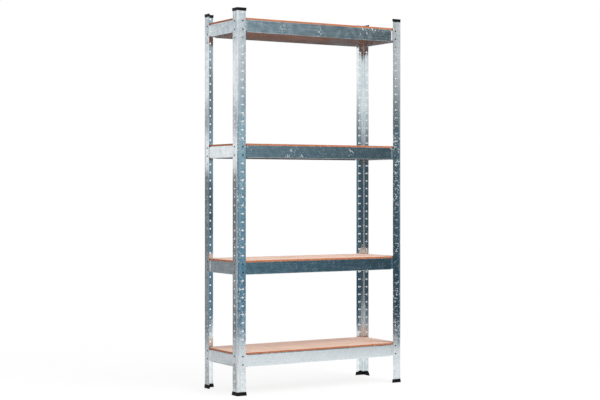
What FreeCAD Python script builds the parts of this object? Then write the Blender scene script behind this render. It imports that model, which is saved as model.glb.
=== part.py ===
import FreeCAD, Part
import Sketcher
import os

# Boltless shelving unit: four slotted angle posts, four shelves of pressed steel beams,
# a loose board on each shelf, plastic caps on the posts and plastic feet below them.
# Millimetres, +Z up, origin on the floor under the middle of the unit, front towards -Y.

doc = FreeCAD.newDocument("BoltlessShelving")

# Driving dimensions: name, value, what it measures.
SIZES = (
    ("frame_width", 900, "outside of the posts, left to right"),
    ("frame_depth", 320, "outside of the posts, front to rear"),
    ("frame_height", 1757, "floor to the top of the caps"),
    ("post_leg", 44, "width of each leg of the angle post"),
    ("post_wall", 1.2, "sheet thickness of the post"),
    ("post_bend", 5, "outside radius of the post's bend"),
    ("slot_pitch", 38, "height from one slot to the next"),
    ("slot_margin", 15, "free edge of the leg to the centre of the slots"),
    ("slot_head", 8, "width of a slot at its top"),
    ("slot_neck", 6, "width of a slot at its bottom"),
    ("slot_rise", 4.5, "slot's top above the seated stud's axis"),
    ("slot_drop", 3, "slot's bottom below the seated stud's axis"),
    ("first_seat", 25, "floor to the lowest stud seat"),
    ("beam_wall", 1, "sheet thickness of the beams"),
    ("beam_bend", 3, "outside leg of a beam's folded edge"),
    ("beam_ledge", 20, "width of the top flange that carries the board"),
    ("beam_return", 14, "width of the bottom flange"),
    ("joggle_depth", 3, "beam's face set back from its end tabs"),
    ("joggle_run", 7, "length of the step between tab and face"),
    ("tab_reveal", 2, "tab that shows past the post's edge"),
    ("tab_trim", 4, "tab shorter than the beam, top and bottom"),
    ("tab_margin", 14, "stud's axis to the end of the tab"),
    ("stud_drop", 7.5, "beam's top to the upper stud's axis"),
    ("stud_lift", 10.5, "beam's bottom to the lower stud's axis"),
    ("stud_radius", 2.7, "radius of a stud"),
    ("stud_sides", 12, "flats round a stud, few because there are many studs"),
    ("stud_proud", 1.5, "stud's end outside the post's face"),
    ("board_thickness", 8, "thickness of a board"),
    ("bottom_shelf", 140, "height that the bottom shelf's lower studs keep below"),
    ("second_shelf", 560, "height that the second shelf's lower studs keep below"),
    ("third_shelf", 1090, "height that the third shelf's lower studs keep below"),
    ("top_shelf_drop", 97, "unit's top to the limit of the top shelf's lower studs"),
    ("cap_height", 14, "height of a post cap"),
    ("cap_roof", 3, "thickness of a cap over the post's end"),
    ("cap_wall", 1.2, "thickness of a cap's sides"),
    ("cap_flare", 1.2, "cap's top edge outside its lower edge"),
    ("foot_height", 17, "height of a foot"),
    ("foot_floor", 4, "thickness of a foot under the post's end"),
    ("foot_wall", 1.4, "thickness of a foot's sides"),
    ("foot_flare", 2.2, "foot's lower edge outside its top edge"),
    ("push_fit", 0.2, "gap between a post and its cap or foot"),
    ("overrun", 10, "how far a cutting tool passes its work"),
)
sheet = doc.addObject("Spreadsheet::Sheet", "Sizes")
for line, (alias, value, meaning) in enumerate(SIZES, start=1):
    sheet.set("A%d" % line, alias)
    sheet.set("B%d" % line, str(value))
    sheet.set("C%d" % line, meaning)
    sheet.setAlias("B%d" % line, alias)
doc.recompute()

# Sizes that follow from the driving ones.
POST_LENGTH = "Sizes.frame_height - Sizes.cap_roof - Sizes.foot_floor"
SLOT_INSET = "(Sizes.post_leg - Sizes.slot_margin)"
SLOT_ROOM = "(Sizes.frame_height - Sizes.cap_height - Sizes.slot_rise - Sizes.first_seat)"
SLOT_SPANS = "floor(%s / Sizes.slot_pitch)" % SLOT_ROOM
BEAM_RISE = "(Sizes.stud_drop + Sizes.slot_pitch + Sizes.stud_lift)"
BEAM_SETBACK = "(Sizes.post_wall + Sizes.joggle_depth)"
BEND_RELIEF_SHARE = 0.7
BEND_RELIEF = "(Sizes.post_bend - Sizes.post_wall) * %g" % BEND_RELIEF_SHARE
TAB_START = "(Sizes.post_leg + Sizes.tab_reveal)"
CHANNEL_END = "(%s + Sizes.joggle_run)" % TAB_START
TAB_END = "(%s - Sizes.tab_margin)" % SLOT_INSET

sub_parts = []


def origin_feature(body, role):
    """The body's own origin plane or axis with this role."""
    for feature in body.Origin.OriginFeatures:
        if feature.Role == role:
            return feature
    raise RuntimeError("no origin feature " + role)


def outline_sketch(body, name, role, corners, lift=None):
    """A closed outline through corners, each a pair of expressions, on one of the body's planes."""
    sketch = body.newObject("Sketcher::SketchObject", name)
    sketch.AttachmentSupport = [(origin_feature(body, role), "")]
    sketch.MapMode = "FlatFace"
    if lift:
        sketch.setExpression("AttachmentOffset.Base.z", lift)
    count = len(corners)
    # The lines start along a parabola, so that no two corners coincide before the sizes place them.
    for index in range(count):
        following = (index + 1) % count
        start = FreeCAD.Vector(index, index * index, 0)
        end = FreeCAD.Vector(following, following * following, 0)
        sketch.addGeometry(Part.LineSegment(start, end), False)
    for index, (across, up) in enumerate(corners):
        following = (index + 1) % count
        sketch.addConstraint(Sketcher.Constraint("Coincident", index, 2, following, 1))
        for kind, distance in (("DistanceX", across), ("DistanceY", up)):
            number = sketch.addConstraint(Sketcher.Constraint(kind, -1, 1, index, 1, index + 1))
            label = "%s_%d" % (kind, index)
            sketch.renameConstraint(number, label)
            sketch.setExpression("Constraints." + label, distance)
    return sketch


def angle_corners(outside, inside, relief="0"):
    """Corners of an L with legs along +X and +Y, this far outside the post and to this inner face.

    The relief cuts the inner corner off, so that a cap or foot clears the post's rounded bend."""
    low = "-(%s)" % outside
    tip = "Sizes.post_leg + %s" % outside
    cut = "%s + %s" % (inside, relief)
    inner = ((cut, inside), (inside, cut)) if relief != "0" else ((inside, inside),)
    return ((low, low), (tip, low), (tip, inside)) + inner + ((inside, tip), (low, tip))


def pad(body, name, sketch, length, symmetric=False):
    """Extrudes a sketch along its plane's normal, or half to each side of it."""
    feature = body.newObject("PartDesign::Pad", name)
    feature.Profile = sketch
    feature.Midplane = symmetric
    feature.setExpression("Length", length)
    return feature


def pocket(body, name, sketch, length, symmetric=False, reverse=False):
    """Cuts a sketch into the body, and makes sure that it cut something."""
    doc.recompute()
    before = body.Shape.Volume
    feature = body.newObject("PartDesign::Pocket", name)
    feature.Profile = sketch
    feature.Midplane = symmetric
    feature.Reversed = reverse
    feature.setExpression("Length", length)
    doc.recompute()
    if body.Shape.Volume >= before:
        raise RuntimeError(name + " cuts nothing")
    return feature


def place(item, across, back, up, turn):
    """Stands a sub-part at a place given by expressions, turned about Z by this many degrees."""
    upright = FreeCAD.Vector(0, 0, 1)
    item.Placement = FreeCAD.Placement(FreeCAD.Vector(0, 0, 0), FreeCAD.Rotation(upright, turn))
    item.setExpression("Placement.Base.x", across)
    item.setExpression("Placement.Base.y", back)
    item.setExpression("Placement.Base.z", up)


def new_body(label):
    """A body with its own name, listed for writing."""
    body = doc.addObject("PartDesign::Body", label)
    body.Label = label
    sub_parts.append(body)
    return body


def round_bend(body, name, pad_feature, inset, radius):
    """Rounds the upright edge of the post that stands inset from both outer faces."""
    doc.recompute()
    gaps = {}
    for number, edge in enumerate(pad_feature.Shape.Edges, start=1):
        middle = edge.CenterOfMass
        if abs(edge.tangentAt(edge.FirstParameter).z) == 1:
            gaps["Edge%d" % number] = abs(middle.x - inset) + abs(middle.y - inset)
    fillet = body.newObject("PartDesign::Fillet", name)
    fillet.Base = (pad_feature, [min(gaps, key=gaps.get)])
    fillet.setExpression("Radius", radius)
    return fillet


def make_post(label, across, back, turn):
    """An angle post, its corner at the body's origin, with a column of tapered slots in each leg."""
    body = new_body(label)
    section = outline_sketch(body, label + "_section", "XY_Plane", angle_corners("0", "Sizes.post_wall"))
    angle = pad(body, label + "_angle", section, POST_LENGTH)
    outer = round_bend(body, label + "_outer_bend", angle, 0, "Sizes.post_bend")
    round_bend(body, label + "_inner_bend", outer, sheet.post_wall, "Sizes.post_bend - Sizes.post_wall")
    seat = "Sizes.first_seat - Sizes.foot_floor"
    left_neck = "%s - Sizes.slot_neck / 2" % SLOT_INSET
    right_neck = "%s + Sizes.slot_neck / 2" % SLOT_INSET
    left_head = "%s - Sizes.slot_head / 2" % SLOT_INSET
    right_head = "%s + Sizes.slot_head / 2" % SLOT_INSET
    bottom = seat + " - Sizes.slot_drop"
    top = seat + " + Sizes.slot_rise"
    corners = ((left_neck, bottom), (right_neck, bottom), (right_head, top), (left_head, top))
    cuts = []
    for leg, role in (("front", "XZ_Plane"), ("side", "YZ_Plane")):
        slot = outline_sketch(body, "%s_%s_slot" % (label, leg), role, corners)
        cut = pocket(body, "%s_%s_cut" % (label, leg), slot, "2 * Sizes.overrun", symmetric=True)
        cuts.append(cut)
    column = body.newObject("PartDesign::LinearPattern", label + "_slots")
    column.Originals = cuts
    column.Direction = (origin_feature(body, "Z_Axis"), [""])
    column.setExpression("Length", "Sizes.slot_pitch * " + SLOT_SPANS)
    column.setExpression("Occurrences", SLOT_SPANS + " + 1")
    body.Tip = column
    place(body, across, back, "Sizes.foot_floor", turn)


def make_cap(label, across, back, turn):
    """A moulded cap over the post's upper end, flared towards its top."""
    body = new_body(label)
    side = "(Sizes.cap_wall + Sizes.push_fit)"
    inner = "Sizes.post_wall + " + side
    lower = outline_sketch(body, label + "_lower", "XY_Plane", angle_corners(side, inner, BEND_RELIEF))
    wide = "(%s + Sizes.cap_flare)" % side
    upper_corners = angle_corners(wide, inner, BEND_RELIEF)
    upper = outline_sketch(body, label + "_upper", "XY_Plane", upper_corners, "Sizes.cap_height")
    shell = body.newObject("PartDesign::AdditiveLoft", label + "_shell")
    shell.Profile = lower
    shell.Sections = [upper]
    shell.Ruled = True
    grip = angle_corners("Sizes.push_fit", "Sizes.post_wall + Sizes.push_fit", BEND_RELIEF)
    socket = outline_sketch(body, label + "_socket", "XY_Plane", grip)
    pocket(body, label + "_grip", socket, "Sizes.cap_height - Sizes.cap_roof", reverse=True)
    place(body, across, back, "Sizes.frame_height - Sizes.cap_height", turn)


def make_foot(label, across, back, turn):
    """A moulded foot under the post's lower end, flared towards the floor."""
    body = new_body(label)
    side = "(Sizes.foot_wall + Sizes.push_fit)"
    inner = "Sizes.post_wall + " + side
    wide = "(%s + Sizes.foot_flare)" % side
    lower = outline_sketch(body, label + "_lower", "XY_Plane", angle_corners(wide, inner, BEND_RELIEF))
    upper_corners = angle_corners(side, inner, BEND_RELIEF)
    upper = outline_sketch(body, label + "_upper", "XY_Plane", upper_corners, "Sizes.foot_height")
    shell = body.newObject("PartDesign::AdditiveLoft", label + "_shell")
    shell.Profile = lower
    shell.Sections = [upper]
    shell.Ruled = True
    grip = angle_corners("Sizes.push_fit", "Sizes.post_wall + Sizes.push_fit", BEND_RELIEF)
    socket = outline_sketch(body, label + "_socket", "XY_Plane", grip, "Sizes.foot_height")
    pocket(body, label + "_grip", socket, "Sizes.foot_height - Sizes.foot_floor")
    place(body, across, back, "0", turn)


def make_beam(label, span, across, back, up, turn):
    """A pressed channel with a stepped tab at each end, outer face towards the body's -Y."""
    body = new_body(label)
    bend = "Sizes.beam_bend"
    wall = "Sizes.beam_wall"
    # Where the fold's inner face leaves the flat, so that the sheet keeps its thickness round it.
    inner_bend = "(%s + %s * (sqrt(2) - 1))" % (bend, wall)
    rise = BEAM_RISE
    corners = (
        ("Sizes.beam_return", "0"),
        (bend, "0"),
        ("0", bend),
        ("0", rise + " - " + bend),
        (bend, rise),
        ("Sizes.beam_ledge", rise),
        ("Sizes.beam_ledge", rise + " - " + wall),
        (inner_bend, rise + " - " + wall),
        (wall, rise + " - " + inner_bend),
        (wall, inner_bend),
        (inner_bend, wall),
        ("Sizes.beam_return", wall),
    )
    section = outline_sketch(body, label + "_section", "YZ_Plane", corners)
    half = "Sizes.%s / 2" % span
    face_end = "%s - %s" % (half, CHANNEL_END)
    pad(body, label + "_channel", section, "2 * (%s)" % face_end, symmetric=True)
    step = "-Sizes.joggle_depth"
    tab_start = "%s - %s" % (half, TAB_START)
    tab_end = "%s - %s" % (half, TAB_END)
    strip = (
        (face_end, "0"),
        (tab_start, step),
        (tab_end, step),
        (tab_end, step + " + " + wall),
        (tab_start, step + " + " + wall),
        (face_end, wall),
    )
    plan = outline_sketch(body, label + "_tab_plan", "XY_Plane", strip, "Sizes.tab_trim")
    tab = pad(body, label + "_tab", plan, rise + " - 2 * Sizes.tab_trim")
    other = body.newObject("PartDesign::Mirrored", label + "_other_tab")
    other.Originals = [tab]
    other.MirrorPlane = (origin_feature(body, "YZ_Plane"), [""])
    body.Tip = other
    place(body, across, back, up, turn)


def make_studs(label, span, across, back, up, turn):
    """The four studs riveted to a beam's tabs, two at each end, that hang in the posts' slots."""
    studs = []
    reach = "Sizes.%s / 2 - %s" % (span, SLOT_INSET)
    for end, sign in (("left", "-"), ("right", "")):
        for level, height in (("lower", "Sizes.stud_lift"), ("upper", "Sizes.stud_lift + Sizes.slot_pitch")):
            stud = doc.addObject("Part::Prism", "%s_%s_%s" % (label, end, level))
            stud.setExpression("Polygon", "Sizes.stud_sides")
            stud.setExpression("Circumradius", "Sizes.stud_radius")
            stud.setExpression("Height", "Sizes.post_wall + Sizes.stud_proud")
            outward = FreeCAD.Rotation(FreeCAD.Vector(1, 0, 0), 90)
            stud.Placement = FreeCAD.Placement(FreeCAD.Vector(0, 0, 0), outward)
            stud.setExpression("Placement.Base.x", "%s(%s)" % (sign, reach))
            stud.setExpression("Placement.Base.y", "-Sizes.joggle_depth")
            stud.setExpression("Placement.Base.z", height)
            studs.append(stud)
    group = doc.addObject("Part::Compound", label)
    group.Label = label
    group.Links = studs
    place(group, across, back, up, turn)
    sub_parts.append(group)


def make_board(label, up):
    """A loose board that lies on the four beams' ledges, flush with their faces."""
    body = new_body(label)
    side = "(Sizes.frame_width / 2 - %s)" % BEAM_SETBACK
    front = "(Sizes.frame_depth / 2 - %s)" % BEAM_SETBACK
    corners = (("-" + side, "-" + front), (side, "-" + front), (side, front), ("-" + side, front))
    panel = outline_sketch(body, label + "_panel", "XY_Plane", corners)
    pad(body, label + "_sheet", panel, "Sizes.board_thickness")
    place(body, "0", "0", up, 0)


LEFT = "-Sizes.frame_width / 2"
RIGHT = "Sizes.frame_width / 2"
FRONT = "-Sizes.frame_depth / 2"
REAR = "Sizes.frame_depth / 2"

# One pattern of post, cap and foot serves all four corners, turned a quarter at each.
CORNERS = (
    ("front_left", LEFT, FRONT, 0),
    ("front_right", RIGHT, FRONT, 90),
    ("rear_right", RIGHT, REAR, 180),
    ("rear_left", LEFT, REAR, 270),
)
for corner, across, back, turn in CORNERS:
    make_post(corner + "_post", across, back, turn)
    make_cap(corner + "_cap", across, back, turn)
    make_foot(corner + "_foot", across, back, turn)

# The lower studs of each shelf sit in the highest slot that its limit allows.
SHELVES = (
    ("bottom", "Sizes.bottom_shelf"),
    ("second", "Sizes.second_shelf"),
    ("third", "Sizes.third_shelf"),
    ("top", "(Sizes.frame_height - Sizes.top_shelf_drop)"),
)
SIDES = (
    ("front", "frame_width", "0", "%s + %s" % (FRONT, BEAM_SETBACK), 0),
    ("right", "frame_depth", "%s - %s" % (RIGHT, BEAM_SETBACK), "0", 90),
    ("rear", "frame_width", "0", "%s - %s" % (REAR, BEAM_SETBACK), 180),
    ("left", "frame_depth", "%s + %s" % (LEFT, BEAM_SETBACK), "0", 270),
)
for shelf, limit in SHELVES:
    row = "floor((%s - Sizes.first_seat) / Sizes.slot_pitch)" % limit
    beam_bottom = "(Sizes.first_seat + Sizes.slot_pitch * %s - Sizes.stud_lift)" % row
    for side, span, across, back, turn in SIDES:
        beam = "%s_%s_beam" % (shelf, side)
        make_beam(beam, span, across, back, beam_bottom, turn)
        make_studs(beam + "_studs", span, across, back, beam_bottom, turn)
    make_board(shelf + "_board", "%s + %s" % (beam_bottom, BEAM_RISE))

doc.recompute()
for item in doc.Objects:
    if "Invalid" in item.State or "Error" in item.State:
        raise RuntimeError("%s failed: %s" % (item.Name, item.State))
for item in sub_parts:
    if item.Shape.isNull() or not item.Shape.isValid():
        raise RuntimeError(item.Label + " has no valid shape")

os.makedirs("parts", exist_ok=True)
for item in sub_parts:
    item.Shape.exportStep(os.path.join("parts", item.Label + ".step"))
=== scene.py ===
import math

import bmesh
import bpy
from mathutils import Matrix, Vector


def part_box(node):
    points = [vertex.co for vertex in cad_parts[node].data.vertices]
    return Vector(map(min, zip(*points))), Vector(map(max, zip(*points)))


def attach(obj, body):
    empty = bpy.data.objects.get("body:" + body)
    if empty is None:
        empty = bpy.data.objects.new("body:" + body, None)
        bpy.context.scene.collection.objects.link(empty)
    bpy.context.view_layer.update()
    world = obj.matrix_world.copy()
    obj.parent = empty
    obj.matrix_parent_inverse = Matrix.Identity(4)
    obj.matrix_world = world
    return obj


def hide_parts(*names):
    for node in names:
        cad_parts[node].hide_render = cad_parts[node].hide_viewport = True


# Boltless shelving unit: slotted zinc-coated angle posts, pressed steel beams hung in them by studs,
# a loose fibreboard on each shelf, black plastic caps and feet. Metres, floor at zero, front towards -Y.

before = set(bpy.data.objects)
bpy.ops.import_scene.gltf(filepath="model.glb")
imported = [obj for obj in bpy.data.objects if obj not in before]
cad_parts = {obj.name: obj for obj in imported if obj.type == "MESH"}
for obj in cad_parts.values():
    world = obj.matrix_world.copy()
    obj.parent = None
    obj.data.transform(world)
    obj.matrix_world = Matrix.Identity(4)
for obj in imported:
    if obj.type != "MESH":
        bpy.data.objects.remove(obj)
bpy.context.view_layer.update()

MM = 0.001

# Angle posts and the slots in their legs.
FRAME_WIDTH = 900 * MM
FRAME_DEPTH = 320 * MM
POST_LEG = 44 * MM
POST_WALL = 1.2 * MM
POST_BEND = 5 * MM
BEND_STEPS = 12
SLOT_PITCH = 38 * MM
SLOT_COUNT = 46
FIRST_SEAT = 25 * MM
SLOT_INSET = 29 * MM
SLOT_HEAD = 8 * MM
SLOT_NECK = 6 * MM
SLOT_RISE = 4.5 * MM
SLOT_DROP = 3 * MM
SLOT_ROUNDING = 1.8 * MM
SLOT_STEPS = 3
HOLE_INSET = 20 * MM
HOLE_RADIUS = 2.3 * MM
HOLE_STEPS = 14

# Beams: a channel with a stepped tab at each end, and the studs in the tabs.
BEAM_RISE = 56 * MM
BEAM_WALL = 1 * MM
BEAM_BEND = 1.3 * MM
BEAM_LEDGE = 20 * MM
BEAM_RETURN = 14 * MM
FOLD_STEPS = 6
JOGGLE_DEPTH = 3 * MM
JOGGLE_RUN = 7 * MM
JOGGLE_STEPS = 6
TAB_REVEAL = 2 * MM
TAB_TRIM = 4 * MM
TAB_MARGIN = 14 * MM
TAB_ROUNDING = 5 * MM
STUD_LIFT = 10.5 * MM
STUD_RADIUS = 2.7 * MM
STUD_HEAD = 3.4 * MM
STUD_PROUD = 1.5 * MM
STUD_TAIL = 0.8 * MM
STUD_TURNS = 16
BEAM_SETBACK = POST_WALL + JOGGLE_DEPTH
TAB_START = POST_LEG + TAB_REVEAL
CHANNEL_END = TAB_START + JOGGLE_RUN
TAB_END = SLOT_INSET - TAB_MARGIN

# Plastic caps and feet, pushed over the posts' ends.
PUSH_FIT = 0.2 * MM
CAP_HEIGHT = 14 * MM
CAP_ROOF = 3 * MM
CAP_WALL = 1.2 * MM
CAP_FLARE = 1.2 * MM
FOOT_HEIGHT = 17 * MM
FOOT_FLOOR = 4 * MM
FOOT_WALL = 1.4 * MM
FOOT_FLARE = 2.2 * MM
MOULD_ROUNDING = 0.7 * MM
BOARD_ARRIS = 0.6 * MM
BOARD_CORNER = 1.5 * MM
CORNER_STEPS = 4

# Sizes of the marks in each finish, with the scuffs' slant in degrees.
STREAK_LENGTH = 130 * MM
STREAK_WIDTH = 4 * MM
POST_CLOUD = 17 * MM
BEAM_CLOUD = 26 * MM
SPECK_SIZE = 9 * MM
SCUFF_LENGTH = 34 * MM
SCUFF_SLANT = 58
PATCH_SIZE = 120 * MM
PATCH_SHIFT = (70 * MM, 900 * MM, 1200 * MM)
WAVE_LENGTH = 60 * MM
WAVE_HEIGHT = 0.2 * MM
BOARD_CLOUD = 70 * MM
FIBRE_SIZE = 2.4 * MM
FIBRE_HEIGHT = 0.2 * MM
SCREEN_MESH = 2.5 * MM
SCREEN_DEPTH = 0.1 * MM
LAYER_THICKNESS = 1.4 * MM
LAYER_HEIGHT = 0.3 * MM
LAYER_STRETCH_SHARE = 0.06
MOULD_GRAIN = 1.1 * MM
GRAIN_HEIGHT = 0.1 * MM

# How the finishes are mixed: clouds over streaks, fibre over clouds, screen over clouds.
CLOUD_SHARE = 0.5
FIBRE_SHARE = 0.45
SCREEN_SHARE = 0.4

# Zinc: the range of its noises that is used, and its frosted specks.
BLEND_LOW = 0.38
BLEND_HIGH = 0.62
PATCH_LOW = 0.35
PATCH_HIGH = 0.65
FROST_COLOUR = "#f2f5f5"
FROST_METAL_SHARE = 0.72
FROST_ROUGHNESS = 0.5

# Meshes: points within the weld are made one, and edges sharper than a crease, in degrees, stay sharp.
# A face looks inwards or lies level where its normal's cosine to that direction is above the limit.
WELD = 0.01 * MM
POST_CREASE = 25
BEAM_CREASE = 30
STUD_CREASE = 35
MOULD_CREASE = 40
BOARD_CREASE = 30
INWARD_COSINE = 0.5
LEVEL_COSINE = 0.9

# Shelves from the floor up; corners as name, right, rear and turn in degrees; sides as name, span, right,
# rear and turn in degrees.
SHELVES = ("bottom", "second", "third", "top")
CORNERS = (
    ("front_left", -1, -1, 0),
    ("front_right", 1, -1, 90),
    ("rear_right", 1, 1, 180),
    ("rear_left", -1, 1, 270),
)
SIDES = (
    ("front", FRAME_WIDTH, 0, -1, 0),
    ("right", FRAME_DEPTH, 1, 0, 90),
    ("rear", FRAME_WIDTH, 0, 1, 180),
    ("left", FRAME_DEPTH, -1, 0, 270),
)


def linear(hex_colour):
    """An sRGB hex colour as the linear colour that a shader socket takes."""
    channels = []
    for start in (1, 3, 5):
        value = int(hex_colour[start:start + 2], 16) / 255
        channels.append(value / 12.92 if value <= 0.04045 else ((value + 0.055) / 1.055) ** 2.4)
    return (*channels, 1)


def add(tree, kind, inputs=None, stops=(), **settings):
    """Adds a node. An input that is a socket, or a list of them, is linked, and any other is set. A colour
    ramp's stops are (position, hex colour) pairs."""
    node = tree.nodes.new(kind)
    for name, value in settings.items():
        setattr(node, name, value)
    for key, value in (inputs or {}).items():
        for item in value if isinstance(value, list) else [value]:
            if isinstance(item, bpy.types.NodeSocket):
                tree.links.new(item, node.inputs[key])
            else:
                node.inputs[key].default_value = item
    for index, (position, colour) in enumerate(stops):
        elements = node.color_ramp.elements
        element = elements[index] if index < len(elements) else elements.new(position)
        element.position = position
        element.color = linear(colour)
    return node


def new_material(name):
    """An empty node material with its tree and its Principled shader."""
    material = bpy.data.materials.new(name)
    material.use_nodes = True
    tree = material.node_tree
    return material, tree, tree.nodes["Principled BSDF"]


def zinc_coated_steel(name, dark, light, smooth, dull, cloud_size, upright, sparse, dense, fade):
    """Hot-dip zinc on rolled sheet: pale metal that mirrors its surroundings softly. Rolling streaks and
    clouds take it from dark and smooth to light and dull. White frosted specks, with scuffs where it isn't
    upright, go from sparse to dense patches and fade at their edges. Streaks and specks are drawn several
    times coarser than real ones, which are too fine to show."""
    material, tree, shader = new_material(name)
    place = add(tree, "ShaderNodeTexCoord").outputs["Object"]
    axes = add(tree, "ShaderNodeSeparateXYZ", {"Vector": place}).outputs
    along = add(tree, "ShaderNodeMath", {0: axes["X"], 1: axes["Y"]}, operation="ADD")
    unrolled = add(tree, "ShaderNodeCombineXYZ", {"X": along.outputs["Value"], "Y": axes["Z"]})
    sheet = unrolled.outputs["Vector"]
    length = 1 / STREAK_LENGTH
    width = 1 / STREAK_WIDTH
    rolled = add(tree, "ShaderNodeMapping",
                 {"Vector": sheet, "Scale": (width, length, 1) if upright else (length, width, 1)})
    streak = add(tree, "ShaderNodeTexNoise", {"Vector": rolled.outputs["Vector"], "Scale": 1, "Detail": 3})
    cloud = add(tree, "ShaderNodeTexNoise", {"Vector": place, "Scale": 1 / cloud_size, "Detail": 4})
    blend = add(tree, "ShaderNodeMix", {0: CLOUD_SHARE, 2: streak.outputs["Fac"], 3: cloud.outputs["Fac"]})

    speck = add(tree, "ShaderNodeTexNoise", {"Vector": place, "Scale": 1 / SPECK_SIZE, "Detail": 2})
    mark = speck.outputs["Fac"]
    if not upright:
        slanted = add(tree, "ShaderNodeMapping",
                      {"Vector": sheet, "Rotation": (0, 0, math.radians(SCUFF_SLANT))})
        rubbed = add(tree, "ShaderNodeMapping",
                     {"Vector": slanted.outputs["Vector"], "Scale": (1 / SCUFF_LENGTH, 1 / SPECK_SIZE, 1)})
        scuff = add(tree, "ShaderNodeTexNoise",
                    {"Vector": rubbed.outputs["Vector"], "Scale": 1, "Detail": 1})
        stronger = add(tree, "ShaderNodeMath", {0: mark, 1: scuff.outputs["Fac"]}, operation="MAXIMUM")
        mark = stronger.outputs["Value"]
    shifted = add(tree, "ShaderNodeMapping", {"Vector": place, "Location": PATCH_SHIFT})
    patch = add(tree, "ShaderNodeTexNoise",
                {"Vector": shifted.outputs["Vector"], "Scale": 1 / PATCH_SIZE, "Detail": 2})
    threshold = add(tree, "ShaderNodeMapRange",
                    {"Value": patch.outputs["Fac"], "From Min": PATCH_LOW, "From Max": PATCH_HIGH,
                     "To Min": sparse, "To Max": dense})
    excess = add(tree, "ShaderNodeMath", {0: mark, 1: threshold.outputs["Result"]}, operation="SUBTRACT")
    frost = add(tree, "ShaderNodeMapRange", {"Value": excess.outputs["Value"], "From Max": fade})

    colour = add(tree, "ShaderNodeValToRGB", {"Fac": blend.outputs[0]},
                 stops=((BLEND_LOW, dark), (BLEND_HIGH, light)))
    frosted = add(tree, "ShaderNodeMix",
                  {0: frost.outputs["Result"], 6: colour.outputs["Color"], 7: linear(FROST_COLOUR)},
                  data_type="RGBA")
    tree.links.new(frosted.outputs[2], shader.inputs["Base Color"])
    bare = add(tree, "ShaderNodeMapRange",
               {"Value": frost.outputs["Result"], "To Min": 1, "To Max": FROST_METAL_SHARE})
    tree.links.new(bare.outputs["Result"], shader.inputs["Metallic"])
    sheen = add(tree, "ShaderNodeMapRange",
                {"Value": blend.outputs[0], "From Min": BLEND_LOW, "From Max": BLEND_HIGH,
                 "To Min": smooth, "To Max": dull})
    rough = add(tree, "ShaderNodeMix",
                {0: frost.outputs["Result"], 2: sheen.outputs["Result"], 3: FROST_ROUGHNESS})
    tree.links.new(rough.outputs[0], shader.inputs["Roughness"])
    wave = add(tree, "ShaderNodeTexNoise", {"Vector": place, "Scale": 1 / WAVE_LENGTH, "Detail": 0})
    bump = add(tree, "ShaderNodeBump", {"Height": wave.outputs["Fac"], "Distance": WAVE_HEIGHT})
    tree.links.new(bump.outputs["Normal"], shader.inputs["Normal"])
    return material


def fibreboard_face():
    """Hardboard's smooth side: pressed wood fibre, pinkish tan with faint clouds and fine darker fibres."""
    material, tree, shader = new_material("hardboard_smooth_face")
    place = add(tree, "ShaderNodeTexCoord").outputs["Object"]
    cloud = add(tree, "ShaderNodeTexNoise", {"Vector": place, "Scale": 1 / BOARD_CLOUD, "Detail": 3})
    fibre = add(tree, "ShaderNodeTexNoise", {"Vector": place, "Scale": 1 / FIBRE_SIZE, "Detail": 3})
    blend = add(tree, "ShaderNodeMix",
                {0: FIBRE_SHARE, 2: cloud.outputs["Fac"], 3: fibre.outputs["Fac"]})
    colour = add(tree, "ShaderNodeValToRGB", {"Fac": blend.outputs[0]},
                 stops=((0.3, "#d4b2a0"), (0.5, "#e0c0ae"), (0.7, "#e9cdbd")))
    tree.links.new(colour.outputs["Color"], shader.inputs["Base Color"])
    shader.inputs["Roughness"].default_value = 0.7
    shader.inputs["Specular IOR Level"].default_value = 0.3
    bump = add(tree, "ShaderNodeBump",
               {"Height": fibre.outputs["Fac"], "Strength": 0.15, "Distance": FIBRE_HEIGHT})
    tree.links.new(bump.outputs["Normal"], shader.inputs["Normal"])
    return material


def fibreboard_back():
    """Hardboard's screen side, pressed on wire mesh: darker brown, partly its own tone and partly painted
    shade for the board's underside, with a fine woven dimple, fully matt.
    """
    material, tree, shader = new_material("hardboard_screen_back")
    place = add(tree, "ShaderNodeTexCoord").outputs["Object"]
    cloud = add(tree, "ShaderNodeTexNoise", {"Vector": place, "Scale": 1 / BOARD_CLOUD, "Detail": 4})
    mesh = add(tree, "ShaderNodeTexVoronoi", {"Vector": place, "Scale": 1 / SCREEN_MESH, "Randomness": 0.1})
    blend = add(tree, "ShaderNodeMix",
                {0: SCREEN_SHARE, 2: cloud.outputs["Fac"], 3: mesh.outputs["Distance"]})
    colour = add(tree, "ShaderNodeValToRGB", {"Fac": blend.outputs[0]},
                 stops=((0.3, "#8c5f4a"), (0.6, "#a3725b")))
    tree.links.new(colour.outputs["Color"], shader.inputs["Base Color"])
    shader.inputs["Roughness"].default_value = 0.9
    shader.inputs["Specular IOR Level"].default_value = 0.05
    bump = add(tree, "ShaderNodeBump",
               {"Height": mesh.outputs["Distance"], "Strength": 0.2, "Distance": SCREEN_DEPTH})
    tree.links.new(bump.outputs["Normal"], shader.inputs["Normal"])
    return material


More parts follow.
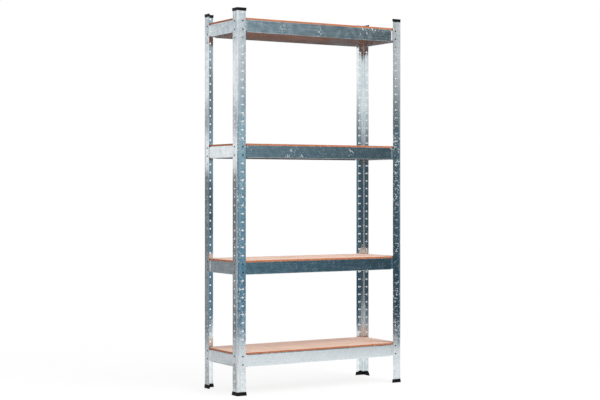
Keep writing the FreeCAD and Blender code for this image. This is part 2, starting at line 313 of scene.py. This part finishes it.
def fibreboard_edge():
    """The board's sawn edge: warm orange-brown, in thin pressed layers, fully matt."""
    material, tree, shader = new_material("hardboard_sawn_edge")
    place = add(tree, "ShaderNodeTexCoord").outputs["Object"]
    flat = add(tree, "ShaderNodeMapping",
               {"Vector": place, "Scale": (LAYER_STRETCH_SHARE, LAYER_STRETCH_SHARE, 1)})
    layer = add(tree, "ShaderNodeTexNoise",
                {"Vector": flat.outputs["Vector"], "Scale": 1 / LAYER_THICKNESS, "Detail": 2})
    colour = add(tree, "ShaderNodeValToRGB", {"Fac": layer.outputs["Fac"]},
                 stops=((0.3, "#8c5439"), (0.55, "#a8694b"), (0.75, "#c08463")))
    tree.links.new(colour.outputs["Color"], shader.inputs["Base Color"])
    shader.inputs["Roughness"].default_value = 0.9
    shader.inputs["Specular IOR Level"].default_value = 0.2
    bump = add(tree, "ShaderNodeBump",
               {"Height": layer.outputs["Fac"], "Strength": 0.3, "Distance": LAYER_HEIGHT})
    tree.links.new(bump.outputs["Normal"], shader.inputs["Normal"])
    return material


def moulded_polypropylene():
    """Moulded black polypropylene: deep black with a fine spark-eroded grain and a low, broad sheen."""
    material, tree, shader = new_material("polypropylene_moulded_black")
    place = add(tree, "ShaderNodeTexCoord").outputs["Object"]
    grain = add(tree, "ShaderNodeTexNoise", {"Vector": place, "Scale": 1 / MOULD_GRAIN, "Detail": 2})
    colour = add(tree, "ShaderNodeValToRGB", {"Fac": grain.outputs["Fac"]},
                 stops=((0.3, "#060607"), (0.7, "#101012")))
    tree.links.new(colour.outputs["Color"], shader.inputs["Base Color"])
    shader.inputs["Roughness"].default_value = 0.6
    shader.inputs["IOR"].default_value = 1.49
    shader.inputs["Specular IOR Level"].default_value = 0.25
    bump = add(tree, "ShaderNodeBump",
               {"Height": grain.outputs["Fac"], "Strength": 0.2, "Distance": GRAIN_HEIGHT})
    tree.links.new(bump.outputs["Normal"], shader.inputs["Normal"])
    return material


# Post strip: streaked up its length and well frosted, so its mirror image is broken by white specks.
POST_STEEL = zinc_coated_steel(
    "galvanised_steel_post_strip", dark="#c2ccd2", light="#f2f5f6", smooth=0.1, dull=0.22,
    cloud_size=POST_CLOUD, upright=True, sparse=0.64, dense=0.52, fade=0.16)
# Beam sheet: streaked along its length and clean, with bright specks and slanting scuffs in a few patches.
BEAM_STEEL = zinc_coated_steel(
    "galvanised_steel_beam_sheet", dark="#c8d3d8", light="#f4f7f8", smooth=0.1, dull=0.25,
    cloud_size=BEAM_CLOUD, upright=False, sparse=0.84, dense=0.61, fade=0.12)
# The posts' inner faces: the same strip, smoother and with fewer specks, so they mirror more sharply;
# their dark tone is raised above the outside's as painted light, which brightens their reflections.
POST_INSIDE = zinc_coated_steel(
    "galvanised_steel_post_inside", dark="#d9e2e6", light="#f2f5f6", smooth=0.08, dull=0.12,
    cloud_size=POST_CLOUD, upright=True, sparse=0.72, dense=0.6, fade=0.15)
# The beams' inner faces: the same sheet, nearly even and with no specks that show.
BEAM_INSIDE = zinc_coated_steel(
    "galvanised_steel_beam_inside", dark="#dce3e7", light="#e8eef1", smooth=0.17, dull=0.23,
    cloud_size=BEAM_CLOUD, upright=False, sparse=1, dense=0.9, fade=0.1)
# Studs: steel with a dull skin, coloured dark as painted shade for the shadowed slots,
# so they show as dark marks there.
STUD_STEEL = zinc_coated_steel(
    "dark_painted_shade_studs", dark="#33383b", light="#4a5053", smooth=0.45, dull=0.55,
    cloud_size=POST_CLOUD, upright=False, sparse=0.86, dense=0.66, fade=0.1)
# Boards: hardboard with its smooth side up, its screen side down and sawn edges.
BOARD_FACE = fibreboard_face()
BOARD_BACK = fibreboard_back()
BOARD_EDGE = fibreboard_edge()
# Caps and feet: matt black plastic.
BLACK_PLASTIC = moulded_polypropylene()


def baked(source, smooth_degrees):
    """The evaluated mesh of an object, smooth-shaded up to an angle; the object itself is removed."""
    evaluated = source.evaluated_get(bpy.context.evaluated_depsgraph_get())
    mesh = bpy.data.meshes.new_from_object(evaluated)
    bpy.data.objects.remove(source)
    mesh.shade_smooth()
    mesh.set_sharp_from_angle(angle=math.radians(smooth_degrees))
    return mesh


def line_inside(mesh, inward, finish):
    """Gives the faces that look into the frame a finish of their own, with fewer marks than outside."""
    mesh.materials.append(finish)
    last = len(mesh.materials) - 1
    for face in mesh.polygons:
        if face.normal.dot(Vector(inward).normalized()) > INWARD_COSINE:
            face.material_index = last
    return mesh


def nodes_object(name, tree, values):
    """An object whose shape is the node tree's, with the tree's named inputs set by their identifiers."""
    shown = bpy.data.objects.new(name, bpy.data.meshes.new(name))
    modifier = shown.modifiers.new(name, "NODES")
    modifier.node_group = tree
    for item in tree.interface.items_tree:
        if item.name in values:
            modifier[item.identifier] = values[item.name]
    bpy.context.scene.collection.objects.link(shown)
    return shown


def solid_piece(mesh, name, turn, place, body, slot, *nodes):
    """A copy of a shape, turned about Z and set in place, that rides on a body and stands for its nodes."""
    copy = mesh.copy()
    copy.name = name
    copy.transform(Matrix.Translation(place) @ Matrix.Rotation(math.radians(turn), 4, "Z"))
    piece = bpy.data.objects.new(name, copy)
    bpy.context.scene.collection.objects.link(piece)
    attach(piece, body)
    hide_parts(*nodes)
    return piece


def slotted_post_tree():
    """Node tree of an angle post: two legs filled round their slots and holes, and the bend between."""
    tree = bpy.data.node_groups.new("slotted_angle_post", "GeometryNodeTree")
    tree.interface.new_socket("Post", in_out="OUTPUT", socket_type="NodeSocketGeometry")
    for name in ("Plate Width", "Plate Height", "Slot Height", "Slot Neck", "Slot Head", "Slot Rounding",
                 "Hole Radius", "Bend Radius"):
        tree.interface.new_socket(name, in_out="INPUT", socket_type="NodeSocketFloat")
    for name in ("Plate Centre", "First Slot", "First Hole", "Pitch", "Bend Centre"):
        tree.interface.new_socket(name, in_out="INPUT", socket_type="NodeSocketVector")
    for name in ("Slots", "Bend Steps"):
        tree.interface.new_socket(name, in_out="INPUT", socket_type="NodeSocketInt")
    size = add(tree, "NodeGroupInput").outputs

    plate = add(tree, "GeometryNodeCurvePrimitiveQuadrilateral",
                {"Width": size["Plate Width"], "Height": size["Plate Height"]}, mode="RECTANGLE")
    plate = add(tree, "GeometryNodeTransform",
                {"Geometry": plate.outputs["Curve"], "Translation": size["Plate Centre"]})
    slot = add(tree, "GeometryNodeCurvePrimitiveQuadrilateral",
               {"Height": size["Slot Height"], "Bottom Width": size["Slot Neck"],
                "Top Width": size["Slot Head"], "Offset": 0}, mode="TRAPEZOID")
    slot = add(tree, "GeometryNodeFilletCurve",
               {"Curve": slot.outputs["Curve"], "Radius": size["Slot Rounding"], "Count": SLOT_STEPS},
               mode="POLY")
    hole = add(tree, "GeometryNodeCurvePrimitiveCircle",
               {"Resolution": HOLE_STEPS, "Radius": size["Hole Radius"]})
    cut = [plate.outputs["Geometry"]]
    for outline, first in ((slot, "First Slot"), (hole, "First Hole")):
        column = add(tree, "GeometryNodeMeshLine",
                     {"Count": size["Slots"], "Start Location": size[first], "Offset": size["Pitch"]})
        copies = add(tree, "GeometryNodeInstanceOnPoints",
                     {"Points": column.outputs["Mesh"], "Instance": outline.outputs["Curve"]})
        flat = add(tree, "GeometryNodeRealizeInstances", {"Geometry": copies.outputs["Instances"]})
        cut.append(flat.outputs["Geometry"])
    outlines = add(tree, "GeometryNodeJoinGeometry", {"Geometry": cut})
    leg = add(tree, "GeometryNodeFillCurve", {"Curve": outlines.outputs["Geometry"]}, mode="TRIANGLES")
    quarter = math.pi / 2
    front = add(tree, "GeometryNodeTransform",
                {"Geometry": leg.outputs["Mesh"], "Rotation": (quarter, 0, 0)})
    side = add(tree, "GeometryNodeTransform",
               {"Geometry": leg.outputs["Mesh"], "Rotation": (quarter, 0, quarter)})
    side = add(tree, "GeometryNodeFlipFaces", {"Mesh": side.outputs["Geometry"]})
    arc = add(tree, "GeometryNodeCurveArc",
              {"Resolution": size["Bend Steps"], "Radius": size["Bend Radius"], "Start Angle": math.pi,
               "Sweep Angle": quarter})
    arc = add(tree, "GeometryNodeTransform",
              {"Geometry": arc.outputs["Curve"], "Translation": size["Bend Centre"]})
    edge = add(tree, "GeometryNodeCurveToMesh", {"Curve": arc.outputs["Geometry"]})
    upwards = add(tree, "ShaderNodeCombineXYZ", {"Z": size["Plate Height"]})
    bend = add(tree, "GeometryNodeExtrudeMesh",
               {"Mesh": edge.outputs["Mesh"], "Offset": upwards.outputs["Vector"], "Offset Scale": 1},
               mode="EDGES")
    sheet = add(tree, "GeometryNodeJoinGeometry",
                {"Geometry": [front.outputs["Geometry"], side.outputs["Mesh"], bend.outputs["Mesh"]]})
    sheet = add(tree, "GeometryNodeMergeByDistance",
                {"Geometry": sheet.outputs["Geometry"], "Distance": WELD})
    whole = add(tree, "GeometryNodeRealizeInstances", {"Geometry": sheet.outputs["Geometry"]})
    steel = add(tree, "GeometryNodeSetMaterial",
                {"Geometry": whole.outputs["Geometry"], "Material": POST_STEEL})
    add(tree, "NodeGroupOutput", {"Post": steel.outputs["Geometry"]})
    return tree


def slotted_post(height, lift):
    """The mesh of one post, its corner at the origin, with the sheet's thickness inside its outer faces."""
    width = POST_LEG - POST_BEND
    seat = FIRST_SEAT - lift + (SLOT_RISE - SLOT_DROP) / 2
    source = nodes_object("post_pattern", slotted_post_tree(), {
        "Plate Width": width,
        "Plate Height": height,
        "Plate Centre": (POST_BEND + width / 2, height / 2, 0),
        "Slot Height": SLOT_RISE + SLOT_DROP,
        "Slot Neck": SLOT_NECK,
        "Slot Head": SLOT_HEAD,
        "Slot Rounding": SLOT_ROUNDING,
        "First Slot": (SLOT_INSET, seat, 0),
        "Hole Radius": HOLE_RADIUS,
        "First Hole": (HOLE_INSET, seat, 0),
        "Pitch": (0, SLOT_PITCH, 0),
        "Slots": SLOT_COUNT,
        "Bend Radius": POST_BEND,
        "Bend Centre": (POST_BEND, POST_BEND, 0),
        "Bend Steps": BEND_STEPS + 1,
    })
    wall = source.modifiers.new("sheet", "SOLIDIFY")
    wall.thickness = POST_WALL
    wall.offset = -1
    return line_inside(baked(source, POST_CREASE), (1, 1, 0), POST_INSIDE)


def rounded_outline(corners, roundings, height):
    """A closed ring of points through corners, each eased by its own rounding, at one height."""
    ring = []
    count = len(corners)
    for index in range(count):
        here = Vector(corners[index])
        start = here + (Vector(corners[index - 1]) - here).normalized() * roundings[index]
        end = here + (Vector(corners[(index + 1) % count]) - here).normalized() * roundings[index]
        for step in range(CORNER_STEPS + 1):
            share = step / CORNER_STEPS
            point = start * (1 - share) ** 2 + here * 2 * share * (1 - share) + end * share ** 2
            ring.append((point.x, point.y, height))
    return ring


def angle_outline(outside, inside, height):
    """The outline of an L round the post, this far outside it and to this inner face."""
    low = -outside
    tip = POST_LEG + outside
    corners = ((low, low), (tip, low), (tip, inside), (inside, inside), (inside, tip), (low, tip))
    small = MOULD_ROUNDING
    roundings = (POST_BEND + outside, small, small, POST_BEND - POST_WALL, small, small)
    return rounded_outline(corners, roundings, height)


def lofted(name, rings, smooth_degrees):
    """A closed shell through rings of points, the first one closed downwards and the last one upwards."""
    form = bmesh.new()
    layers = [[form.verts.new(point) for point in ring] for ring in rings]
    for lower, upper in zip(layers, layers[1:]):
        count = len(lower)
        for index in range(count):
            following = (index + 1) % count
            form.faces.new((lower[index], lower[following], upper[following], upper[index]))
    form.faces.new(reversed(layers[0]))
    form.faces.new(layers[-1])
    mesh = bpy.data.meshes.new(name)
    form.to_mesh(mesh)
    form.free()
    mesh.shade_smooth()
    mesh.set_sharp_from_angle(angle=math.radians(smooth_degrees))
    return mesh


def post_cap():
    """A cap, its corner at the post's: socket first, then the rim, the flared sides and the eased top."""
    side = PUSH_FIT + CAP_WALL
    inner = POST_WALL + side
    wide = side + CAP_FLARE
    ease = MOULD_ROUNDING
    grip = PUSH_FIT
    rings = (
        angle_outline(grip, POST_WALL + grip, CAP_HEIGHT - CAP_ROOF),
        angle_outline(grip, POST_WALL + grip, 0),
        angle_outline(side - ease / 2, inner - ease / 2, 0),
        angle_outline(side, inner, ease / 2),
        angle_outline(wide, inner, CAP_HEIGHT - ease),
        angle_outline(wide - ease / 3, inner - ease / 3, CAP_HEIGHT - ease / 3),
        angle_outline(wide - ease, inner - ease, CAP_HEIGHT),
    )
    mesh = lofted("cap", rings, MOULD_CREASE)
    mesh.materials.append(BLACK_PLASTIC)
    return mesh


def post_foot():
    """A foot, its corner at the post's: the sole, the flared sides, the rim and the socket for the post."""
    side = PUSH_FIT + FOOT_WALL
    inner = POST_WALL + side
    wide = side + FOOT_FLARE
    ease = MOULD_ROUNDING
    grip = PUSH_FIT
    rings = (
        angle_outline(wide - ease, inner - ease, 0),
        angle_outline(wide, inner, ease),
        angle_outline(side, inner, FOOT_HEIGHT - ease / 2),
        angle_outline(side - ease / 2, inner - ease / 2, FOOT_HEIGHT),
        angle_outline(grip, POST_WALL + grip, FOOT_HEIGHT),
        angle_outline(grip, POST_WALL + grip, FOOT_FLOOR),
    )
    mesh = lofted("foot", rings, MOULD_CREASE)
    mesh.materials.append(BLACK_PLASTIC)
    return mesh


def fold(centre, start_degrees):
    """Points of a quarter-round fold, (back, up) pairs, from this angle on, clockwise."""
    points = []
    for step in range(FOLD_STEPS + 1):
        angle = math.radians(start_degrees - 90 * step / FOLD_STEPS)
        points.append((centre[0] + BEAM_BEND * math.cos(angle), centre[1] + BEAM_BEND * math.sin(angle)))
    return points


def strip(form, columns):
    """Quads between columns of points, left to right, each column listed upwards; faces towards -Y."""
    made = [[form.verts.new(point) for point in column] for column in columns]
    for left, right in zip(made, made[1:]):
        for index in range(len(left) - 1):
            form.faces.new((left[index], right[index], right[index + 1], left[index + 1]))


def pressed_beam(span):
    """A beam, its lower edge at zero and its outer face at zero towards -Y: channel, steps and end tabs."""
    face_end = span / 2 - CHANNEL_END
    tab_start = span / 2 - TAB_START
    tab_end = span / 2 - TAB_END
    low = TAB_TRIM
    high = BEAM_RISE - TAB_TRIM
    section = [(BEAM_RETURN, 0)]
    section += fold((BEAM_BEND, BEAM_BEND), 270)
    section += [(0, low), (0, high)]
    section += fold((BEAM_BEND, BEAM_RISE - BEAM_BEND), 180)
    section.append((BEAM_LEDGE, BEAM_RISE))
    form = bmesh.new()
    strip(form, [[(across, back, up) for back, up in section] for across in (-face_end, face_end)])
    for sign in (-1, 1):
        steps = []
        for step in range(JOGGLE_STEPS + 1):
            share = step / JOGGLE_STEPS
            ease = share * share * (3 - 2 * share)
            across = sign * (face_end + (tab_start - face_end) * share)
            steps.append([(across, -JOGGLE_DEPTH * ease, low), (across, -JOGGLE_DEPTH * ease, high)])
        strip(form, steps[::sign])
        corners = [(sign * across, up) for across, up in
                   ((tab_start, low), (tab_end, low), (tab_end, high), (tab_start, high))]
        roundings = (0, TAB_ROUNDING, TAB_ROUNDING, 0)
        outline = rounded_outline(corners, roundings, 0)
        tab = [form.verts.new((across, -JOGGLE_DEPTH, up)) for across, up, level in outline]
        form.faces.new(tab[::sign])
    bmesh.ops.remove_doubles(form, verts=form.verts, dist=WELD)
    mesh = bpy.data.meshes.new("beam_sheet")
    form.to_mesh(mesh)
    form.free()
    mesh.materials.append(BEAM_STEEL)
    source = bpy.data.objects.new("beam_pattern", mesh)
    bpy.context.scene.collection.objects.link(source)
    wall = source.modifiers.new("sheet", "SOLIDIFY")
    wall.thickness = BEAM_WALL
    wall.offset = -1
    wall.use_even_offset = True
    return line_inside(baked(source, BEAM_CREASE), (0, 1, 0), BEAM_INSIDE)


def turned_stud():
    """One stud, axis towards -Y: upset tail behind the tab, shank through tab and post, low domed head."""
    head = POST_WALL + STUD_PROUD
    ease = STUD_PROUD / 3
    profile = (
        (0, -BEAM_WALL - STUD_TAIL),
        (STUD_HEAD - ease, -BEAM_WALL - STUD_TAIL),
        (STUD_HEAD, -BEAM_WALL - STUD_TAIL / 2),
        (STUD_HEAD, -BEAM_WALL),
        (STUD_RADIUS, -BEAM_WALL),
        (STUD_RADIUS, POST_WALL),
        (STUD_HEAD, POST_WALL),
        (STUD_HEAD, POST_WALL + ease),
        (STUD_HEAD - ease, head - ease),
        (STUD_HEAD / 2, head - ease / 4),
        (0, head),
    )
    form = bmesh.new()
    points = [form.verts.new((radius, -out, 0)) for radius, out in profile]
    edges = [form.edges.new(pair) for pair in zip(points, points[1:])]
    bmesh.ops.spin(form, geom=points + edges, cent=(0, 0, 0), axis=(0, 1, 0), angle=2 * math.pi,
                   steps=STUD_TURNS)
    bmesh.ops.remove_doubles(form, verts=form.verts, dist=WELD)
    bmesh.ops.recalc_face_normals(form, faces=form.faces)
    mesh = bpy.data.meshes.new("stud")
    form.to_mesh(mesh)
    form.free()
    stud = bpy.data.objects.new("stud_pattern", mesh)
    bpy.context.scene.collection.objects.link(stud)
    return stud


def stud_group_tree():
    """Node tree that sets a stud at each of the four places on a beam's two tabs."""
    tree = bpy.data.node_groups.new("beam_stud_group", "GeometryNodeTree")
    tree.interface.new_socket("Studs", in_out="OUTPUT", socket_type="NodeSocketGeometry")
    tree.interface.new_socket("Stud", in_out="INPUT", socket_type="NodeSocketObject")
    for name in ("Spread", "Pitch"):
        tree.interface.new_socket(name, in_out="INPUT", socket_type="NodeSocketFloat")
    tree.interface.new_socket("Middle", in_out="INPUT", socket_type="NodeSocketVector")
    size = add(tree, "NodeGroupInput").outputs
    four = add(tree, "GeometryNodeMeshGrid",
               {"Size X": size["Spread"], "Size Y": size["Pitch"], "Vertices X": 2, "Vertices Y": 2})
    upright = add(tree, "GeometryNodeTransform",
                  {"Geometry": four.outputs["Mesh"], "Translation": size["Middle"],
                   "Rotation": (math.pi / 2, 0, 0)})
    stud = add(tree, "GeometryNodeObjectInfo", {"Object": size["Stud"]})
    copies = add(tree, "GeometryNodeInstanceOnPoints",
                 {"Points": upright.outputs["Geometry"], "Instance": stud.outputs["Geometry"]})
    whole = add(tree, "GeometryNodeRealizeInstances", {"Geometry": copies.outputs["Instances"]})
    steel = add(tree, "GeometryNodeSetMaterial",
                {"Geometry": whole.outputs["Geometry"], "Material": STUD_STEEL})
    add(tree, "NodeGroupOutput", {"Studs": steel.outputs["Geometry"]})
    return tree


def shelf_board(lowest, highest):
    """A board between two corners: eased arrises, slightly rounded corners, and a finish for each side."""
    def outline(inset, height):
        left = lowest.x + inset
        right = highest.x - inset
        front = lowest.y + inset
        rear = highest.y - inset
        corners = ((left, front), (right, front), (right, rear), (left, rear))
        return rounded_outline(corners, (BOARD_CORNER,) * 4, height)

    rings = (
        outline(BOARD_ARRIS, lowest.z),
        outline(0, lowest.z + BOARD_ARRIS),
        outline(0, highest.z - BOARD_ARRIS),
        outline(BOARD_ARRIS, highest.z),
    )
    mesh = lofted("board", rings, BOARD_CREASE)
    for finish in (BOARD_EDGE, BOARD_FACE, BOARD_BACK):
        mesh.materials.append(finish)
    for face in mesh.polygons:
        if abs(face.normal.z) > LEVEL_COSINE:
            face.material_index = 1 if face.normal.z > 0 else 2
    return mesh


# Posts with their caps and feet: one pattern of each, turned a quarter at each corner.
post_low, post_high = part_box("front_left_post")
post_mesh = slotted_post(post_high.z - post_low.z, post_low.z)
cap_mesh = post_cap()
foot_mesh = post_foot()
for corner, right, rear, turn in CORNERS:
    place = Vector((right * FRAME_WIDTH / 2, rear * FRAME_DEPTH / 2, 0))
    for mesh, part, slot in ((post_mesh, "post", "galvanised_steel"), (cap_mesh, "cap", "black_plastic"),
                             (foot_mesh, "foot", "black_plastic")):
        name = "%s_%s" % (corner, part)
        place.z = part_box(name)[0].z
        solid_piece(mesh, name + "_shape", turn, place, "frame", slot, name)

# Beams and their studs: one pattern for the long sides and one for the short ones.
beam_meshes = {}
stud_meshes = {}
stud = turned_stud()
stud_tree = stud_group_tree()
for span in (FRAME_WIDTH, FRAME_DEPTH):
    beam_meshes[span] = pressed_beam(span)
    studs = nodes_object("stud_places", stud_tree, {
        "Stud": stud,
        "Spread": span - 2 * SLOT_INSET,
        "Pitch": SLOT_PITCH,
        "Middle": (0, -JOGGLE_DEPTH, STUD_LIFT + SLOT_PITCH / 2),
    })
    stud_meshes[span] = baked(studs, STUD_CREASE)
bpy.data.objects.remove(stud)
for shelf in SHELVES:
    for side, span, right, rear, turn in SIDES:
        name = "%s_%s_beam" % (shelf, side)
        across = right * (FRAME_WIDTH / 2 - BEAM_SETBACK)
        back = rear * (FRAME_DEPTH / 2 - BEAM_SETBACK)
        place = Vector((across, back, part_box(name)[0].z))
        solid_piece(beam_meshes[span], name + "_shape", turn, place, "frame", "galvanised_steel", name)
        studs = name + "_studs"
        solid_piece(stud_meshes[span], studs + "_shape", turn, place, "frame", "galvanised_steel", studs)
    board = shelf + "_board"
    board_mesh = shelf_board(*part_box(board))
    solid_piece(board_mesh, board + "_shape", 0, Vector((0, 0, 0)), shelf + "_shelf_board", "hardboard",
                board)


def background_share(tree):
    """1 for rays that look at the background: from the camera, in a reflection or through something."""
    path = add(tree, "ShaderNodeLightPath").outputs
    share = path["Is Camera Ray"]
    for other in ("Is Glossy Ray", "Is Transmission Ray"):
        either = add(tree, "ShaderNodeMath", {0: share, 1: path[other]}, operation="MAXIMUM")
        share = either.outputs["Value"]
    return share


def staged_sheet(name, corners, material):
    """A flat sheet through four corners that belongs to the studio, not to the object."""
    mesh = bpy.data.meshes.new(name)
    mesh.from_pydata(corners, [], [(0, 1, 2, 3)])
    mesh.materials.append(material)
    sheet = bpy.data.objects.new(name, mesh)
    bpy.context.scene.collection.objects.link(sheet)
    return sheet


# Studio: a pale floor that keeps the shadow and turns white further off, a white background, soft lamps.
# Reflections see dim spots of painted shade on the floor, given as place, radius of the dim core and radius
# where it ends.
FLOOR_REACH = 30
NEAR_WHITE_SHARE = 0.86
SHADE_START = 1.2
SHADE_END = 3.5
DIM_SHARE = 0.42
DIM_SPOTS = (((-0.85, 0.5, 0), 0.48, 0.75), ((-0.75, -1.7, 0), 0.7, 1))
SKY_LIGHT_SHARE = 0.76
LAMP_AIM = (0, 0, 0.9)
studio_paper, paper_tree, paper = new_material("white_studio_paper")
paper.inputs["Base Color"].default_value = linear("#f6f6f6")
paper.inputs["Roughness"].default_value = 0.9
ground = add(paper_tree, "ShaderNodeTexCoord").outputs["Object"]
# Painted shade: the floor's glow, as reflections see it, is dimmed round each spot.
shine = 1
for place, core, reach in DIM_SPOTS:
    gap = add(paper_tree, "ShaderNodeVectorMath", {0: ground, 1: place}, operation="DISTANCE")
    dim = add(paper_tree, "ShaderNodeMapRange",
              {"Value": gap.outputs["Value"], "From Min": core, "From Max": reach,
               "To Min": DIM_SHARE, "To Max": 1})
    dimmed = add(paper_tree, "ShaderNodeMath", {0: shine, 1: dim.outputs["Result"]}, operation="MULTIPLY")
    shine = dimmed.outputs["Value"]
mirrored = add(paper_tree, "ShaderNodeLightPath").outputs["Is Glossy Ray"]
seen = add(paper_tree, "ShaderNodeMix", {0: mirrored, 2: 1, 3: shine})
glow = add(paper_tree, "ShaderNodeEmission", {"Color": (1, 1, 1, 1), "Strength": seen.outputs[0]})
away = add(paper_tree, "ShaderNodeVectorMath", {0: ground}, operation="LENGTH")
white = add(paper_tree, "ShaderNodeMapRange",
            {"Value": away.outputs["Value"], "From Min": SHADE_START, "From Max": SHADE_END,
             "To Min": NEAR_WHITE_SHARE, "To Max": 1})
share = add(paper_tree, "ShaderNodeMath", {0: background_share(paper_tree), 1: white.outputs["Result"]},
            operation="MULTIPLY")
mixed = add(paper_tree, "ShaderNodeMixShader",
            {0: share.outputs["Value"], 1: paper.outputs["BSDF"], 2: glow.outputs["Emission"]})
paper_tree.links.new(mixed.outputs["Shader"], paper_tree.nodes["Material Output"].inputs["Surface"])
staged_sheet("floor", [(-FLOOR_REACH, -FLOOR_REACH, 0), (FLOOR_REACH, -FLOOR_REACH, 0),
                       (FLOOR_REACH, FLOOR_REACH, 0), (-FLOOR_REACH, FLOOR_REACH, 0)], studio_paper)

world = bpy.data.worlds.new("studio")
bpy.context.scene.world = world
world.use_nodes = True
sky = world.node_tree
light = add(sky, "ShaderNodeMapRange",
            {"Value": background_share(sky), "To Min": SKY_LIGHT_SHARE, "To Max": 1})
sky.nodes["Background"].inputs["Color"].default_value = (1, 1, 1, 1)
sky.links.new(light.outputs["Result"], sky.nodes["Background"].inputs["Strength"])


def softbox(name, place, size, power):
    """A square area lamp at a place, turned to the object, that reflections don't see."""
    data = bpy.data.lights.new(name, "AREA")
    data.shape = "SQUARE"
    data.size = size
    data.energy = power
    lamp = bpy.data.objects.new(name, data)
    lamp.location = place
    lamp.rotation_euler = (Vector(LAMP_AIM) - Vector(place)).to_track_quat("-Z", "Y").to_euler()
    lamp.visible_glossy = False
    bpy.context.scene.collection.objects.link(lamp)


softbox("overhead_softbox", place=(0.4, -0.6, 4.2), size=4, power=45)
softbox("front_softbox", place=(1.4, -3, 4), size=3, power=160)

# Reflection cards: the height of their last tone, the width of their soft edges, and where a card's shade
# starts and is full, to the left and right of its middle.
CARD_TOP = 3
SIDE_FADE = 0.05
TOP_FADE = 0.4
SHADE_LEFT = -0.6
SHADE_RIGHT = 0.12


def reflection_card(name, bearing, distance, left, right, height, tones, shade_share):
    """A card that only reflections see, standing on the floor at a bearing from the front, anticlockwise
    from above. It glows with tones by height, which are painted reflections for the zinc, falls off to a
    share of them to its right as painted shade, and has soft edges."""
    outward = Vector((math.sin(math.radians(bearing)), -math.cos(math.radians(bearing)), 0))
    rightward = Vector((-outward.y, outward.x, 0))
    spots = ((right, 0), (left, 0), (left, height), (right, height))
    material, tree, shader = new_material(name)
    tree.nodes.remove(shader)
    flat = add(tree, "ShaderNodeTexCoord").outputs["UV"]
    axes = add(tree, "ShaderNodeSeparateXYZ", {"Vector": flat}).outputs
    rise = add(tree, "ShaderNodeMapRange", {"Value": axes["Y"], "From Max": CARD_TOP})
    tone = add(tree, "ShaderNodeValToRGB", {"Fac": rise.outputs["Result"]}, stops=tones)
    level = add(tree, "ShaderNodeMapRange",
                {"Value": axes["X"], "From Min": SHADE_LEFT, "From Max": SHADE_RIGHT, "To Min": 1,
                 "To Max": shade_share})
    light = add(tree, "ShaderNodeEmission",
                {"Color": tone.outputs["Color"], "Strength": level.outputs["Result"]})
    cover = light.outputs["Emission"]
    for axis, edge, full in (("X", left, left + SIDE_FADE), ("X", right, right - SIDE_FADE),
                             ("Y", height, height - TOP_FADE)):
        share = add(tree, "ShaderNodeMapRange", {"Value": axes[axis], "From Min": edge, "From Max": full},
                    interpolation_type="SMOOTHSTEP")
        clear = add(tree, "ShaderNodeBsdfTransparent")
        faded = add(tree, "ShaderNodeMixShader",
                    {0: share.outputs["Result"], 1: clear.outputs["BSDF"], 2: cover})
        cover = faded.outputs["Shader"]
    tree.links.new(cover, tree.nodes["Material Output"].inputs["Surface"])
    corners = [outward * distance + rightward * across + Vector((0, 0, up)) for across, up in spots]
    card = staged_sheet(name, corners, material)
    layer = card.data.uv_layers.new(name="card")
    for loop, spot in zip(layer.data, spots):
        loop.uv = spot
    card.visible_camera = False
    card.visible_diffuse = False
    card.visible_shadow = False
    card.visible_transmission = False


# The cards give the bright zinc something to mirror, each off one side of the unit: glowing sheets whose
# tones, dark bands and white stripes at set heights are painted reflections.
TEAL = ((0.15, "#628293"), (0.38, "#7c96a2"), (0.64, "#9cb2bc"))
PALE_TEAL = ((0.12, "#5a88a2"), (0.24, "#8cbacf"), (0.38, "#a2c8d8"), (0.64, "#c0dce8"))
DARK_TEAL = ((0, "#44555d"), (0.5, "#4f6069"))
PAINTED_BANDS_TEAL = (
    (0.15, "#628293"), (0.195, "#688796"), (0.22, "#475860"), (0.32, "#475860"),
    (0.345, "#7c96a2"), (0.43, "#839ca8"), (0.46, "#667881"), (0.57, "#667881"), (0.6, "#9cb2bc"),
)
PAINTED_BANDS_GREY = (
    (0, "#ececee"), (0.06, "#83888c"), (0.15, "#989da0"), (0.22, "#7d8286"),
    (0.335, "#7d8286"), (0.352, "#ffffff"), (0.402, "#ffffff"), (0.422, "#b8bcc0"),
    (0.45, "#b8bcc0"), (0.48, "#ffffff"), (0.54, "#ffffff"), (0.6, "#cfd5d9"),
)
reflection_card("front_right_flag", bearing=36, distance=2.1, left=-0.72, right=0.23, height=2.6,
                tones=PAINTED_BANDS_TEAL, shade_share=0.15)
reflection_card("front_right_card", bearing=36, distance=2.15, left=-1.5, right=1.5, height=1.7,
                tones=PALE_TEAL, shade_share=0.36)
reflection_card("right_card", bearing=88, distance=2.4, left=-1.2, right=1.2, height=2.4,
                tones=TEAL, shade_share=0.7)
reflection_card("rear_right_card", bearing=144, distance=2.1, left=-1.5, right=1.5, height=2.4,
                tones=TEAL, shade_share=0.5)
reflection_card("front_left_card", bearing=-31, distance=2.6, left=-2, right=2, height=1.6,
                tones=DARK_TEAL, shade_share=1)
reflection_card("rear_left_card", bearing=211, distance=1.3, left=-1.3, right=1.3, height=3,
                tones=PAINTED_BANDS_GREY, shade_share=1)

# Camera: level, at the photograph's angle, with its focal length and the horizon's place in pixels.
PHOTO_WIDTH = 600
FOCAL_PIXELS = 1405.4
HORIZON_ABOVE_MIDDLE = 11.94
SENSOR_WIDTH = 36
CAMERA_PLACE = (-3.4954, -5.7317, 0.94)
CAMERA_TURN = -31.214
camera_data = bpy.data.cameras.new("camera")
camera_data.sensor_width = SENSOR_WIDTH
camera_data.lens = FOCAL_PIXELS / PHOTO_WIDTH * SENSOR_WIDTH
camera_data.shift_y = -HORIZON_ABOVE_MIDDLE / PHOTO_WIDTH
camera = bpy.data.objects.new("camera", camera_data)
camera.location = CAMERA_PLACE
camera.rotation_euler = (math.radians(90), 0, math.radians(CAMERA_TURN))
bpy.context.scene.collection.objects.link(camera)
bpy.context.scene.camera = camera
bpy.context.scene.view_settings.view_transform = "Standard"
